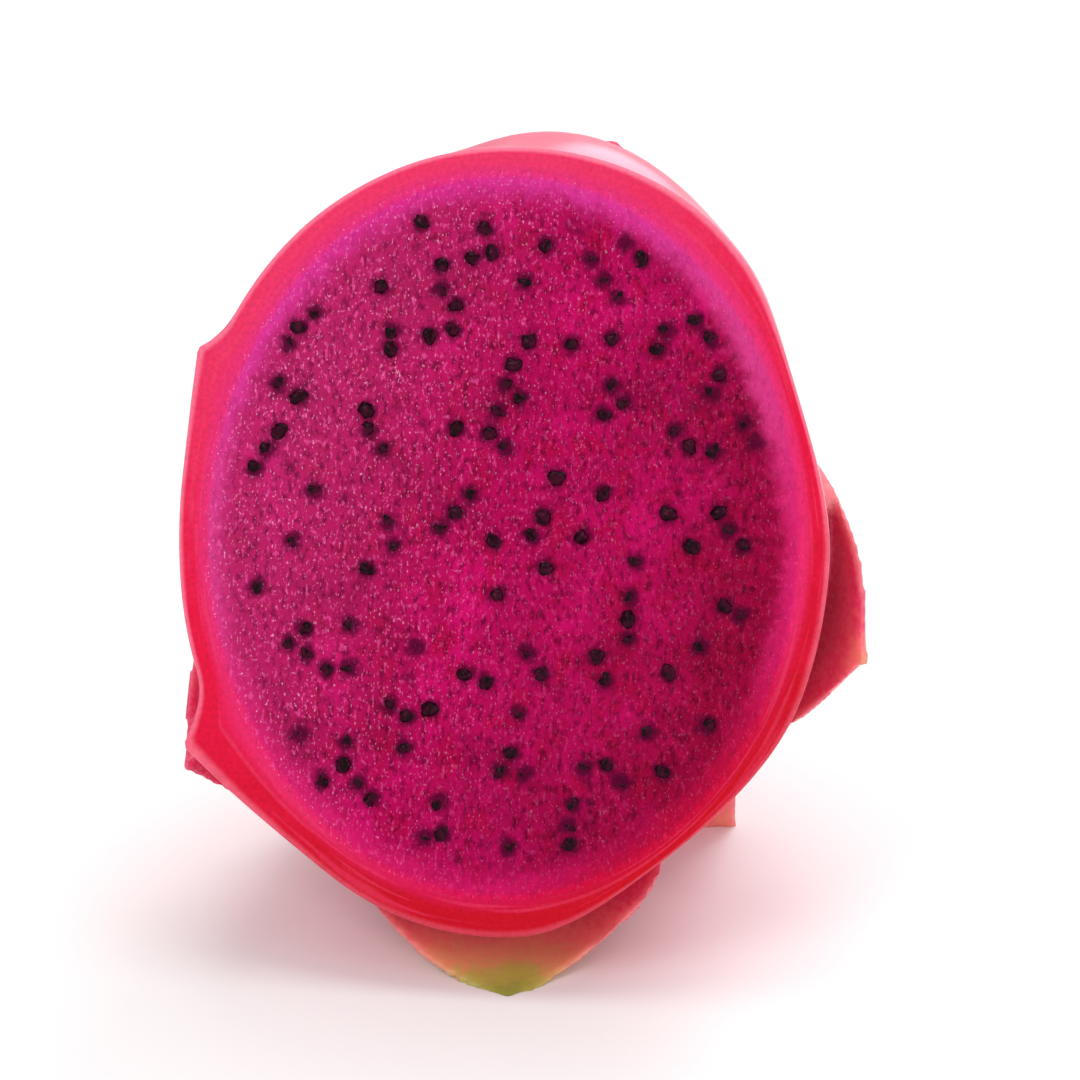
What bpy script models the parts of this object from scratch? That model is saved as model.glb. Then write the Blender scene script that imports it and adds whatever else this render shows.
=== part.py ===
# Half a red-fleshed dragon fruit, cut across, leaning back on three of its scales.
#
# The fruit is modelled in its own frame: x runs across the cut face, z runs up the
# face and y runs into the fruit, from the cut (y = 0) to the stem end. An empty at the
# centre of the cut face then leans it back and lifts it onto the ground at z = 0.

import math
import random

import bmesh
import bpy
from mathutils import Matrix, Vector

MM = 0.001

# Driving dimensions
HALF_WIDTH = 43.0 * MM
HALF_HEIGHT = 53.0 * MM
DEPTH = 58.0 * MM
PEEL_AT_SIDES = 3.4 * MM
PEEL_AT_ENDS = 4.9 * MM
PEEL_AT_STEM = 4.6 * MM
LEAN = math.radians(20.0)
FACE_CENTRE_HEIGHT = 58.0 * MM
GAP = 0.3 * MM

# Fineness of the skin and the flesh
ROUND_STEPS = 72
SKIN_RINGS = 20
HOLLOW_RINGS = 10
CUT_ALLOWANCE = 2.0 * MM

# Furrows that run from the stem end to the cut, and the hollow round the stem
FURROWS = 7
FURROW_DEPTH = 0.5 * MM
FURROW_TWIST = 2.5
STEM_HOLLOW_DEPTH = 1.8 * MM
STEM_HOLLOW_RADIUS = 9.0 * MM

# Scales: a broad blade that leaves the skin at a swelling and points to the cut.
# Angle round the face (from the right, anticlockwise), angle of the root back from the
# cut, length, width, flare away from the skin, and sideways turn, clockwise positive.
SCALES = (
    (-10.0, 33.0, 30.0, 40.0, 1.0, 8.0),
    (79.0, 42.0, 24.0, 36.0, -4.0, 8.0),
    (160.0, 34.0, 26.0, 36.0, -6.0, 8.0),
    (213.0, 32.0, 30.0, 36.0, 1.0, 0.0),
    (33.0, 57.0, 21.0, 31.0, -2.0, -5.0),
    (115.0, 57.0, 25.0, 32.0, 12.0, 5.0),
    (190.0, 58.0, 24.0, 30.0, 11.0, 4.0),
    (-15.0, 72.0, 19.0, 24.0, 20.0, 5.0),
    (70.0, 74.0, 18.0, 22.0, 22.0, -8.0),
    (150.0, 74.0, 18.0, 22.0, 21.0, 6.0),
    (268.0, 73.0, 15.0, 20.0, 8.0, 0.0),
)
# Scales that the fruit stands on: angles as above, width, and where the tip meets the
# ground, across and back from the centre of the cut face.
STANDING_SCALES = (
    (-90.0, 33.0, 42.0, 3.0, -20.5),
    (-57.0, 60.0, 31.0, 29.0, 33.0),
    (-124.0, 60.0, 31.0, -27.0, 32.0),
)
TIP_SINK = 0.9 * MM
ROOT_SINK = 1.9 * MM
ROOT_SET_BACK = 3.0 * MM
ROOT_THICKNESS = 2.2 * MM
TIP_THICKNESS = 1.3 * MM
EDGE_THINNING = 0.5
TIP_HALF_WIDTH = 0.8 * MM
WIDEST_AT = 0.3
ROOT_NARROWING = 0.35
TIP_FULLNESS = 2.0
TIP_POINTING = 1.15
BEND_AT = 0.5
SCALE_STATIONS = 7
SCALE_COLUMNS = 5
WRAP_RADIUS = 42.0 * MM
SWELLING_HEIGHT = 2.4 * MM
SWELLING_LENGTH = 20.0 * MM
SWELLING_FALL = 8.0 * MM
SWELLING_SPREAD = 0.78

# Corners of the rim, where the cut goes through the base of a scale: angle round the
# face, height beyond the oval, and degrees that it spreads before and after that angle.
RIM_CORNERS = (
    (211.0, 5.2, 9.0, 28.0),
    (155.0, 2.4, 6.0, 19.0),
)
# Flatter stretches of the rim, as above but with their depth inside the oval
RIM_FLATS = (
    (22.0, 1.6, 24.0, 24.0),
    (92.0, 1.9, 40.0, 62.0),
    (305.0, 2.5, 30.0, 34.0),
)
RIM_REACH = math.radians(34.0)
# Shoulder of skin that stands above the cut's upper edge: angle round the face, angle
# back from the cut, height, and how far it spreads both ways.
SHOULDER = (78.0, 11.0, 3.2, 30.0, 10.0)

# Seeds, shown as low grains on the cut face
SEED_COUNT = 124
SEED_LENGTH = 2.4 * MM
SEED_WIDTH = 1.8 * MM
SEED_RISE = 0.45 * MM
SEED_ROOT = 1.0 * MM
SEED_SHOULDER = 0.25 * MM
SEED_CROWN = 0.55
SEED_SMALLEST = 0.85
SEED_LARGEST = 1.1
SEED_SPACING = 2.4 * MM
SEED_ROOM = 5.2 * MM
SEED_CLUMPING = 0.35
MOST_TOGETHER = 3
CLUMP_REACH = 3.5 * MM
SEED_FIELD = 0.91
SEED_SIDES = 6
FACE_RINGS = (0.36, 0.7)

# Dry stem stub
STUB_RADIUS = 6.2 * MM
STUB_LENGTH = 8.0 * MM
STUB_SIDES = 18
STUB_RINGS = 4
STUB_RIBS = 6
STUB_RIB_DEPTH = 0.1
STUB_TAPER = 0.35
STUB_FLARE = 0.25
STUB_SLANT = 0.25
STUB_CLEARANCE = 1.15

SKIN_COLOUR = (0.80, 0.045, 0.15, 1.0)
SKIN_ROUGHNESS = 0.42
FLESH_COLOUR = (0.48, 0.004, 0.10, 1.0)
FLESH_ROUGHNESS = 0.28
STUB_COLOUR = (0.30, 0.21, 0.12, 1.0)
STUB_ROUGHNESS = 0.85
CREASE = math.radians(42.0)


def clear_scene():
    for item in list(bpy.data.objects):
        bpy.data.objects.remove(item, do_unlink=True)


def material(name, colour, roughness):
    made = bpy.data.materials.new(name)
    made.use_nodes = True
    shader = made.node_tree.nodes["Principled BSDF"]
    shader.inputs["Base Color"].default_value = colour
    shader.inputs["Roughness"].default_value = roughness
    shader.inputs["Metallic"].default_value = 0.0
    return made


def mesh_object(name, points, faces, parent):
    mesh = bpy.data.meshes.new(name)
    mesh.from_pydata([tuple(point) for point in points], [], faces)
    shape = bmesh.new()
    shape.from_mesh(mesh)
    bmesh.ops.recalc_face_normals(shape, faces=shape.faces)
    shape.to_mesh(mesh)
    shape.free()
    made = bpy.data.objects.new(name, mesh)
    made.parent = parent
    bpy.context.collection.objects.link(made)
    return made


def apply_modifiers(item):
    bpy.context.view_layer.update()
    depsgraph = bpy.context.evaluated_depsgraph_get()
    applied = bpy.data.meshes.new_from_object(item.evaluated_get(depsgraph))
    item.modifiers.clear()
    item.data = applied


def fuse(item, pieces):
    group = bpy.data.collections.new(item.name + "_pieces")
    bpy.context.scene.collection.children.link(group)
    for piece in pieces:
        bpy.context.collection.objects.unlink(piece)
        group.objects.link(piece)
    union = item.modifiers.new("union", "BOOLEAN")
    union.operation = "UNION"
    union.operand_type = "COLLECTION"
    union.collection = group
    union.solver = "MANIFOLD"
    apply_modifiers(item)
    for piece in list(group.objects):
        bpy.data.objects.remove(piece, do_unlink=True)
    bpy.data.collections.remove(group)


def trim(item, low, high, parent):
    """Cut away the box between two corners, given in the parent's frame."""
    middle = (Vector(low) + Vector(high)) / 2.0
    spread = Vector(high) - Vector(low)
    shape = bmesh.new()
    placed = Matrix.Translation(middle) @ Matrix.Diagonal((*spread, 1.0))
    bmesh.ops.create_cube(shape, size=1.0, matrix=placed)
    mesh = bpy.data.meshes.new("knife")
    shape.to_mesh(mesh)
    shape.free()
    knife = bpy.data.objects.new("knife", mesh)
    knife.parent = parent
    knife.hide_render = True
    knife.display_type = "WIRE"
    bpy.context.collection.objects.link(knife)
    cut = item.modifiers.new("cut", "BOOLEAN")
    cut.operation = "DIFFERENCE"
    cut.object = knife
    cut.solver = "MANIFOLD"
    apply_modifiers(item)
    bpy.data.objects.remove(knife, do_unlink=True)


def oval_point(around, back, half_width, half_height, depth):
    reach = math.cos(back)
    across = half_width * math.cos(around) * reach
    up = half_height * math.sin(around) * reach
    return Vector((across, depth * math.sin(back), up))


def skin_frame(around, back):
    """Point on the plain oval skin, outward normal and direction toward the cut."""
    point = oval_point(around, back, HALF_WIDTH, HALF_HEIGHT, DEPTH)
    slope = (point.x / HALF_WIDTH**2, point.y / DEPTH**2, point.z / HALF_HEIGHT**2)
    widening = math.sin(back)
    across = HALF_WIDTH * math.cos(around) * widening
    up = HALF_HEIGHT * math.sin(around) * widening
    forward = Vector((across, -DEPTH * math.cos(back), up))
    return point, Vector(slope).normalized(), forward.normalized()


def scale_roots():
    roots = []
    for row in SCALES:
        roots.append((row[0], row[1], row[3] * MM))
    for row in STANDING_SCALES:
        roots.append((row[0], row[1], row[2] * MM))
    frames = []
    for around, back, width in roots:
        point, outward, forward = skin_frame(math.radians(around), math.radians(back))
        frames.append((point, outward, forward, outward.cross(forward), width))
    return frames


ROOTS = scale_roots()


def swelling(point):
    """How far the skin is raised behind the scales that grow from it."""
    highest = 0.0
    for root, outward, forward, sideways, width in ROOTS:
        offset = point - root
        if offset.length > SWELLING_LENGTH + width:
            continue
        along = offset.dot(forward)
        reach = SWELLING_FALL if along > 0.0 else SWELLING_LENGTH
        along = min(1.0, abs(along) / reach)
        across = min(1.0, abs(offset.dot(sideways)) / (SWELLING_SPREAD * width))
        rise = (1.0 - along * along) ** 2 * (1.0 - across**4) ** 2
        highest = max(highest, rise)
    return SWELLING_HEIGHT * highest


def distance_round(around, angle, before, after):
    """0 at an angle round the face, growing to 1 where its reach ends on either side."""
    turn = (math.degrees(around) - angle + 180.0) % 360.0 - 180.0
    return min(1.0, abs(turn) / (after if turn > 0.0 else before))


def rim_change(around, back):
    """How far the rim stands out at its corners and lies in at its flatter stretches."""
    change = 0.0
    for angle, height, before, after in RIM_CORNERS:
        change += height * MM * (1.0 - distance_round(around, angle, before, after)) ** 2
    for angle, depth, before, after in RIM_FLATS:
        change -= depth * MM * (1.0 - distance_round(around, angle, before, after) ** 2) ** 2
    fade = max(0.0, 1.0 - back / RIM_REACH)
    return change * fade * fade * (3.0 - 2.0 * fade)


def shoulder(around, back):
    angle, middle, height, spread, reach = SHOULDER
    sideways = distance_round(around, angle, spread, spread)
    inward = min(1.0, abs(math.degrees(back) - middle) / reach)
    return height * MM * (1.0 - sideways * sideways) ** 2 * (1.0 - inward * inward) ** 2


def skin_point(around, back):
    point, outward, forward = skin_frame(around, back)
    furrow = -FURROW_DEPTH * (1.0 - math.cos(FURROWS * around + FURROW_TWIST * back)) * math.sin(2.0 * back)
    from_axis = math.hypot(point.x, point.z) / STEM_HOLLOW_RADIUS
    hollow = -STEM_HOLLOW_DEPTH * math.exp(-from_axis * from_axis)
    raised = swelling(point) + rim_change(around, back) + shoulder(around, back)
    return point + outward * (furrow + hollow + raised)


def cup_rings(rings, place):
    """Points of a cup from in front of the cut back to its pole, ring by ring."""
    points = []
    for step in range(ROUND_STEPS):
        edge = place(2.0 * math.pi * step / ROUND_STEPS, 0.0)
        points.append(Vector((edge.x, -CUT_ALLOWANCE, edge.z)))
    for ring in range(rings):
        back = 0.5 * math.pi * ring / rings
        for step in range(ROUND_STEPS):
            points.append(place(2.0 * math.pi * step / ROUND_STEPS, back))
    points.append(place(0.0, 0.5 * math.pi))
    return points


def cup_faces(rows, start, pole):
    faces = []
    for row in range(rows - 1):
        for step in range(ROUND_STEPS):
            beside = (step + 1) % ROUND_STEPS
            low = start + row * ROUND_STEPS
            high = low + ROUND_STEPS
            faces.append((low + step, low + beside, high + beside))
            faces.append((low + step, high + beside, high + step))
    last = start + (rows - 1) * ROUND_STEPS
    for step in range(ROUND_STEPS):
        faces.append((last + step, last + (step + 1) % ROUND_STEPS, pole))
    return faces


def hollow_point(around, back):
    half_width = HALF_WIDTH - PEEL_AT_SIDES
    half_height = HALF_HEIGHT - PEEL_AT_ENDS
    return oval_point(around, back, half_width, half_height, DEPTH - PEEL_AT_STEM)


def flesh_point(around, back):
    half_width = HALF_WIDTH - PEEL_AT_SIDES - GAP
    half_height = HALF_HEIGHT - PEEL_AT_ENDS - GAP
    return oval_point(around, back, half_width, half_height, DEPTH - PEEL_AT_STEM - GAP)


def skin_cup(parent):
    outer = cup_rings(SKIN_RINGS, skin_point)
    inner = cup_rings(HOLLOW_RINGS, hollow_point)
    points = outer + inner
    faces = cup_faces(SKIN_RINGS + 1, 0, len(outer) - 1)
    faces += cup_faces(HOLLOW_RINGS + 1, len(outer), len(points) - 1)
    for step in range(ROUND_STEPS):
        beside = (step + 1) % ROUND_STEPS
        faces.append((step, beside, len(outer) + beside))
        faces.append((step, len(outer) + beside, len(outer) + step))
    return mesh_object("peel", points, faces, parent)


def blade_width(share):
    """Half width of a scale along its length, as a share of its widest."""
    if share < WIDEST_AT:
        return 1.0 - ROOT_NARROWING * (1.0 - share / WIDEST_AT) ** 2
    tip = (share - WIDEST_AT) / (1.0 - WIDEST_AT)
    return (1.0 - tip**TIP_FULLNESS) ** TIP_POINTING


def scale_blade(name, around, back, width, tip, parent):
    """A broad pointed blade from a root sunk in the skin to a given tip."""
    point, outward, forward = skin_frame(around, back)
    root = point + outward * (swelling(point) - ROOT_SINK) - forward * ROOT_SET_BACK
    sideways = outward.cross(forward)
    length = (tip - root).length
    bend = root + forward * (BEND_AT * length)
    points = []
    for station in range(SCALE_STATIONS):
        share = station / (SCALE_STATIONS - 1)
        spine = root * (1.0 - share) ** 2 + bend * (2.0 * share * (1.0 - share)) + tip * share**2
        heading = ((bend - root) * (1.0 - share) + (tip - bend) * share).normalized()
        across = (sideways - heading * sideways.dot(heading)).normalized()
        facing = heading.cross(across)
        if facing.dot(outward) < 0.0:
            facing = -facing
        half = max(TIP_HALF_WIDTH, 0.5 * width * blade_width(share))
        thickness = ROOT_THICKNESS + (TIP_THICKNESS - ROOT_THICKNESS) * share
        for side in (1.0, -1.0):
            for column in range(SCALE_COLUMNS):
                place = 2.0 * column / (SCALE_COLUMNS - 1) - 1.0
                reach = half * place
                droop = reach * reach / (2.0 * WRAP_RADIUS)
                thin = thickness * (1.0 - EDGE_THINNING * place * place)
                points.append(spine + across * reach + facing * (side * thin / 2.0 - droop))
    return mesh_object(name, points, blade_faces(), parent)


def blade_faces():
    row = 2 * SCALE_COLUMNS
    last = (SCALE_STATIONS - 1) * row
    faces = []
    for station in range(SCALE_STATIONS - 1):
        for column in range(SCALE_COLUMNS - 1):
            for side in (0, SCALE_COLUMNS):
                corner = station * row + side + column
                faces.append((corner, corner + 1, corner + row + 1))
                faces.append((corner, corner + row + 1, corner + row))
        for column in (0, SCALE_COLUMNS - 1):
            corner = station * row + column
            under = corner + SCALE_COLUMNS
            faces.append((corner, corner + row, under + row))
            faces.append((corner, under + row, under))
    for start in (0, last):
        for column in range(SCALE_COLUMNS - 1):
            corner = start + column
            under = corner + SCALE_COLUMNS
            faces.append((corner, corner + 1, under + 1))
            faces.append((corner, under + 1, under))
    return faces


def free_tip(around, back, length, flare, turn):
    point, outward, forward = skin_frame(around, back)
    heading = Matrix.Rotation(turn, 3, outward) @ forward
    return point + length * (heading * math.cos(flare) + outward * math.sin(flare))


def ground_tip(across, behind):
    """A point just under the ground, turned back into the fruit's own frame."""
    drop = -FACE_CENTRE_HEIGHT - TIP_SINK
    depth = behind * math.cos(LEAN) - drop * math.sin(LEAN)
    up = behind * math.sin(LEAN) + drop * math.cos(LEAN)
    return Vector((across, depth, up))


def scales(parent):
    blades = []
    for around, back, length, width, flare, turn in SCALES:
        place = (math.radians(around), math.radians(back))
        tip = free_tip(*place, length * MM, math.radians(flare), math.radians(turn))
        blades.append(scale_blade("scale", *place, width * MM, tip, parent))
    for around, back, width, across, behind in STANDING_SCALES:
        place = (math.radians(around), math.radians(back))
        tip = ground_tip(across * MM, behind * MM)
        blades.append(scale_blade("scale", *place, width * MM, tip, parent))
    return blades


def peel(parent):
    made = skin_cup(parent)
    fuse(made, scales(parent))
    reach = 2.0 * HALF_HEIGHT
    trim(made, (-reach, -reach, -reach), (reach, 0.0, reach), parent)
    trim(made, (-reach, -reach, -reach), (reach, reach, 0.0), None)
    return made


def seed_places():
    """Seeds scattered over the cut face, some in twos and threes, none close to the peel."""
    dice = random.Random(22)
    half_width = SEED_FIELD * (HALF_WIDTH - PEEL_AT_SIDES)
    half_height = SEED_FIELD * (HALF_HEIGHT - PEEL_AT_ENDS)
    places = []
    together = 1
    while len(places) < SEED_COUNT:
        room = SEED_ROOM
        spot = (dice.uniform(-half_width, half_width), dice.uniform(-half_height, half_height))
        if places and together < MOST_TOGETHER and dice.random() < SEED_CLUMPING:
            room = SEED_SPACING
            across, up = places[-1][:2]
            away = dice.uniform(SEED_SPACING, CLUMP_REACH)
            angle = dice.uniform(0.0, 2.0 * math.pi)
            spot = (across + away * math.cos(angle), up + away * math.sin(angle))
        if math.hypot(spot[0] / half_width, spot[1] / half_height) > 1.0:
            continue
        if min((math.dist(spot, other[:2]) for other in places), default=1.0) < room:
            continue
        turn = dice.uniform(0.0, math.pi)
        places.append((*spot, turn, dice.uniform(SEED_SMALLEST, SEED_LARGEST)))
        together = together + 1 if room == SEED_SPACING else 1
    return places


def seed_grain(across, up, turn, size, parent):
    """A low grain with a flat crown, rooted in the flesh by a point."""
    points = [Vector((across, SEED_ROOT, up))]
    for share, depth in ((1.0, SEED_SHOULDER), (SEED_CROWN, -SEED_RISE)):
        for side in range(SEED_SIDES):
            angle = 2.0 * math.pi * side / SEED_SIDES
            along = share * size * SEED_LENGTH / 2.0 * math.cos(angle)
            beside = share * size * SEED_WIDTH / 2.0 * math.sin(angle)
            east = along * math.cos(turn) - beside * math.sin(turn)
            north = along * math.sin(turn) + beside * math.cos(turn)
            points.append(Vector((across + east, depth, up + north)))
    faces = []
    for side in range(SEED_SIDES):
        beside = (side + 1) % SEED_SIDES
        faces.append((0, 1 + side, 1 + beside))
        faces.append((1 + side, 1 + beside, 1 + SEED_SIDES + beside))
        faces.append((1 + side, 1 + SEED_SIDES + beside, 1 + SEED_SIDES + side))
    faces.append(tuple(range(1 + SEED_SIDES, 1 + 2 * SEED_SIDES)))
    return mesh_object("seed", points, faces, parent)


def flesh(parent):
    points = []
    for share in FACE_RINGS:
        for step in range(ROUND_STEPS):
            points.append(share * flesh_point(2.0 * math.pi * step / ROUND_STEPS, 0.0))
    for ring in range(HOLLOW_RINGS):
        back = 0.5 * math.pi * ring / HOLLOW_RINGS
        for step in range(ROUND_STEPS):
            points.append(flesh_point(2.0 * math.pi * step / ROUND_STEPS, back))
    points.append(flesh_point(0.0, 0.5 * math.pi))
    faces = cup_faces(HOLLOW_RINGS + len(FACE_RINGS), 0, len(points) - 1)
    faces.append(tuple(range(ROUND_STEPS)))
    made = mesh_object("flesh", points, faces, parent)
    fuse(made, [seed_grain(*place, parent) for place in seed_places()])
    return made


def deepest_skin_under_stub():
    edge = math.acos(STUB_CLEARANCE * STUB_RADIUS / HALF_WIDTH)
    deepest = 0.0
    for step in range(ROUND_STEPS):
        around = 2.0 * math.pi * step / ROUND_STEPS
        for ring in range(STUB_RINGS):
            back = edge + (0.5 * math.pi - edge) * ring / (STUB_RINGS - 1)
            deepest = max(deepest, skin_point(around, back).y)
    return deepest


def stem_stub(parent):
    """Dry ribbed stub of the stem, cut off aslant, in the hollow at the stem end."""
    start = GAP + deepest_skin_under_stub()
    points = []
    for ring in range(STUB_RINGS):
        share = ring / (STUB_RINGS - 1)
        for side in range(STUB_SIDES):
            angle = 2.0 * math.pi * side / STUB_SIDES
            ribbed = 1.0 + STUB_RIB_DEPTH * math.cos(STUB_RIBS * angle)
            radius = STUB_RADIUS * ribbed * (1.0 - STUB_TAPER * share + STUB_FLARE * share * share)
            slant = 1.0 + STUB_SLANT * math.cos(angle) * share
            depth = start + STUB_LENGTH * share * slant
            points.append(Vector((radius * math.cos(angle), depth, radius * math.sin(angle))))
    faces = [tuple(range(STUB_SIDES)), tuple(range((STUB_RINGS - 1) * STUB_SIDES, STUB_RINGS * STUB_SIDES))]
    for ring in range(STUB_RINGS - 1):
        for side in range(STUB_SIDES):
            low = ring * STUB_SIDES
            beside = (side + 1) % STUB_SIDES
            faces.append((low + side, low + beside, low + STUB_SIDES + beside))
            faces.append((low + side, low + STUB_SIDES + beside, low + STUB_SIDES + side))
    return mesh_object("stem_stub", points, faces, parent)


def finish(item, coat):
    item.data.materials.clear()
    item.data.materials.append(coat)
    item.data.shade_smooth()
    item.data.set_sharp_from_angle(angle=CREASE)


def centre_over_origin(face_centre):
    """Slide the fruit so that the origin lies below the middle of its outline."""
    bpy.context.view_layer.update()
    corners = []
    for item in face_centre.children:
        corners += [item.matrix_world @ vertex.co for vertex in item.data.vertices]
    for axis in (0, 1):
        places = [corner[axis] for corner in corners]
        face_centre.location[axis] -= (min(places) + max(places)) / 2.0


def build():
    clear_scene()
    face_centre = bpy.data.objects.new("face_centre", None)
    face_centre.location = (0.0, 0.0, FACE_CENTRE_HEIGHT)
    face_centre.rotation_euler = (-LEAN, 0.0, 0.0)
    bpy.context.collection.objects.link(face_centre)
    finish(peel(face_centre), material("skin", SKIN_COLOUR, SKIN_ROUGHNESS))
    finish(flesh(face_centre), material("flesh", FLESH_COLOUR, FLESH_ROUGHNESS))
    finish(stem_stub(face_centre), material("dry_stem", STUB_COLOUR, STUB_ROUGHNESS))
    centre_over_origin(face_centre)


build()
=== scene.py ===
# Half a red-fleshed dragon fruit, cut across: the waxy peel with its green-tipped scales,
# the wet grainy flesh, its black seeds and the dry stub of the stem.
#
# Everything is shaped in the fruit's own frame: x runs across the cut face, z runs up the
# face and y runs into the fruit, from the cut (y = 0) to the stem end. TO_GROUND then
# leans it back and sets it where the frame's solids stand.

import math
import random

import bmesh
import bpy
import numpy as np
from mathutils import Matrix, Vector, noise
from mathutils.kdtree import KDTree


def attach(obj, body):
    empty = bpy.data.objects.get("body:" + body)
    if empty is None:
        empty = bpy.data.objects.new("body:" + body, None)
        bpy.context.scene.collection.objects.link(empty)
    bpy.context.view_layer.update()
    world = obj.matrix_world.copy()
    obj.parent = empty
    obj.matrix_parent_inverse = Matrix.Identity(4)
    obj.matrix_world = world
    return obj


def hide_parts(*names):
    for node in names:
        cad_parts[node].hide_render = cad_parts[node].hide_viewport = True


MM = 0.001

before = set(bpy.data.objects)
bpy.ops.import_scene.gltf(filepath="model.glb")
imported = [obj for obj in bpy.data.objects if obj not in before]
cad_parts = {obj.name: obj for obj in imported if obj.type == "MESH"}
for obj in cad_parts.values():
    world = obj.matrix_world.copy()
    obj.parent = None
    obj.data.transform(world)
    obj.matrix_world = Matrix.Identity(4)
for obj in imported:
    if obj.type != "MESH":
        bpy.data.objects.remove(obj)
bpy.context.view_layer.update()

# The fruit, as its solids have it
HALF_WIDTH = 43.0 * MM
HALF_HEIGHT = 53.0 * MM
DEPTH = 58.0 * MM
PEEL_AT_SIDES = 3.4 * MM
PEEL_AT_ENDS = 4.9 * MM
PEEL_AT_STEM = 4.6 * MM
GAP = 0.3 * MM
LEAN = math.radians(20.0)
FACE_CENTRE = Vector((-2.546, -23.188, 58.0)) * MM
TO_GROUND = Matrix.Translation(FACE_CENTRE) @ Matrix.Rotation(-LEAN, 4, "X")

# Skin relief
FURROWS = 7
FURROW_DEPTH = 0.5 * MM
FURROW_TWIST = 2.5
STEM_HOLLOW_DEPTH = 1.8 * MM
STEM_HOLLOW_RADIUS = 9.0 * MM
SWELLING_HEIGHT = 2.4 * MM
SWELLING_LENGTH = 20.0 * MM
SWELLING_FALL = 8.0 * MM
SWELLING_SPREAD = 0.78
WAVE_HEIGHT = 0.45 * MM
WAVE_SIZE = 17.0 * MM
WAVE_AT_CUT = 0.35
CREASE_HEIGHT = 0.22 * MM
CREASE_SIZE = 4.5 * MM

# Corners of the rim, where the cut goes through the base of a scale: angle round the
# face, height beyond the oval, and degrees that it spreads before and after that angle.
RIM_CORNERS = (
    (211.0, 5.2, 9.0, 28.0),
    (155.0, 2.4, 6.0, 19.0),
)
# Flatter stretches of the rim, as above but with their depth inside the oval
RIM_FLATS = (
    (22.0, 1.6, 24.0, 24.0),
    (92.0, 1.9, 40.0, 62.0),
    (305.0, 2.5, 30.0, 34.0),
)
RIM_REACH = math.radians(34.0)
# Shoulder of skin that stands above the cut's upper edge: angle round the face, angle
# back from the cut, height, and how far it spreads both ways.
SHOULDER = (78.0, 11.0, 3.2, 30.0, 10.0)
# Strip on that shoulder's front where a highlight and sheen are painted: angle round the face,
# angle back, and how far it spreads back and round.
HIGHLIGHT_STRIP = (72.0, 2.5, 9.5, 27.0)

# Scales: angle round the face (from the right, anticlockwise), angle of the root back
# from the cut, length, width, flare away from the skin, and sideways turn.
SCALES = (
    (-10.0, 33.0, 30.0, 40.0, 1.0, 8.0),
    (79.0, 42.0, 24.0, 36.0, -4.0, 8.0),
    (160.0, 34.0, 26.0, 36.0, -6.0, 8.0),
    (213.0, 32.0, 30.0, 36.0, 1.0, 0.0),
    (33.0, 57.0, 21.0, 31.0, -2.0, -5.0),
    (115.0, 57.0, 25.0, 32.0, 12.0, 5.0),
    (190.0, 58.0, 24.0, 30.0, 11.0, 4.0),
    (-15.0, 72.0, 19.0, 24.0, 20.0, 5.0),
    (70.0, 74.0, 18.0, 22.0, 22.0, -8.0),
    (150.0, 74.0, 18.0, 22.0, 21.0, 6.0),
    (268.0, 73.0, 15.0, 20.0, 8.0, 0.0),
)
# Scales that the fruit stands on: angles, width, and where the tip meets the ground,
# across and back from the centre of the cut face.
STANDING_SCALES = (
    (-90.0, 33.0, 42.0, 3.0, -20.5),
    (-57.0, 60.0, 31.0, 29.0, 33.0),
    (-124.0, 60.0, 31.0, -27.0, 32.0),
)
# How green each scale is, first the free ones, then the standing ones
SCALE_GREEN = (0.45, -0.1, 0.1, 0.0, 0.9, 0.9, 0.8, 1.0, 1.0, 1.0, 1.0, 1.03, 0.5, 0.5)
# How pale the edge of each scale is, in the same order
SCALE_EDGE = (1.0, 0.92, 0.90, 0.90, 0.96, 0.96, 0.96, 1.0, 1.0, 1.0, 1.0, 0.94, 1.0, 1.0)
TIP_SINK = 0.9 * MM
ROOT_SINK = 1.9 * MM
ROOT_SET_BACK = 3.0 * MM
ROOT_THICKNESS = 2.2 * MM
TIP_THICKNESS = 1.45 * MM
EDGE_THINNING = 0.45
WIDEST_AT = 0.3
ROOT_NARROWING = 0.35
TIP_FULLNESS = 2.0
TIP_POINTING = 1.15
BEND_AT = 0.5
TIP_HALF_WIDTH = 0.8 * MM
WRAP_RADIUS = 42.0 * MM
SCALE_STATIONS = 30
SCALE_COLUMNS = 17
# Where the points of a scale lie, along it and across it
STATION_SHARES = [station / (SCALE_STATIONS - 1) for station in range(SCALE_STATIONS)]
COLUMN_PLACES = [2.0 * column / (SCALE_COLUMNS - 1) - 1.0 for column in range(SCALE_COLUMNS)]
# Ripples of the scales' edges: height, and how they run along, across and round
RIPPLE_HEIGHT = 0.5 * MM
RIPPLES_ALONG = 9.0
RIPPLES_ACROSS = 4.0
RIPPLES_ROUND = 7.0

# How the skin knows which scale it is on: samples looked at, and how near they must be
NEAREST_SAMPLES = 3
SAMPLE_REACH = 2.0 * MM
SAMPLE_SOFTNESS = 0.05 * MM

# Rounding of the fold where a scale grows out of the skin
FOLD_ROUNDS = 9
FOLD_STRENGTH = 0.6
FOLD_LEAST = 0.16
FOLD_REACH = 0.5

# Fineness
SKIN_STEPS = 192
SKIN_RINGS = 70
HOLLOW_RINGS = 24
VOXEL = 0.72 * MM
FLESH_STEPS = 520
FLESH_FACE_RINGS = 124
FLESH_BACK_RINGS = 12
RIM_STEPS = 400
RIM_FLAT_STEPS = 12
RIM_BEND_STEPS = 5

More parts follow.
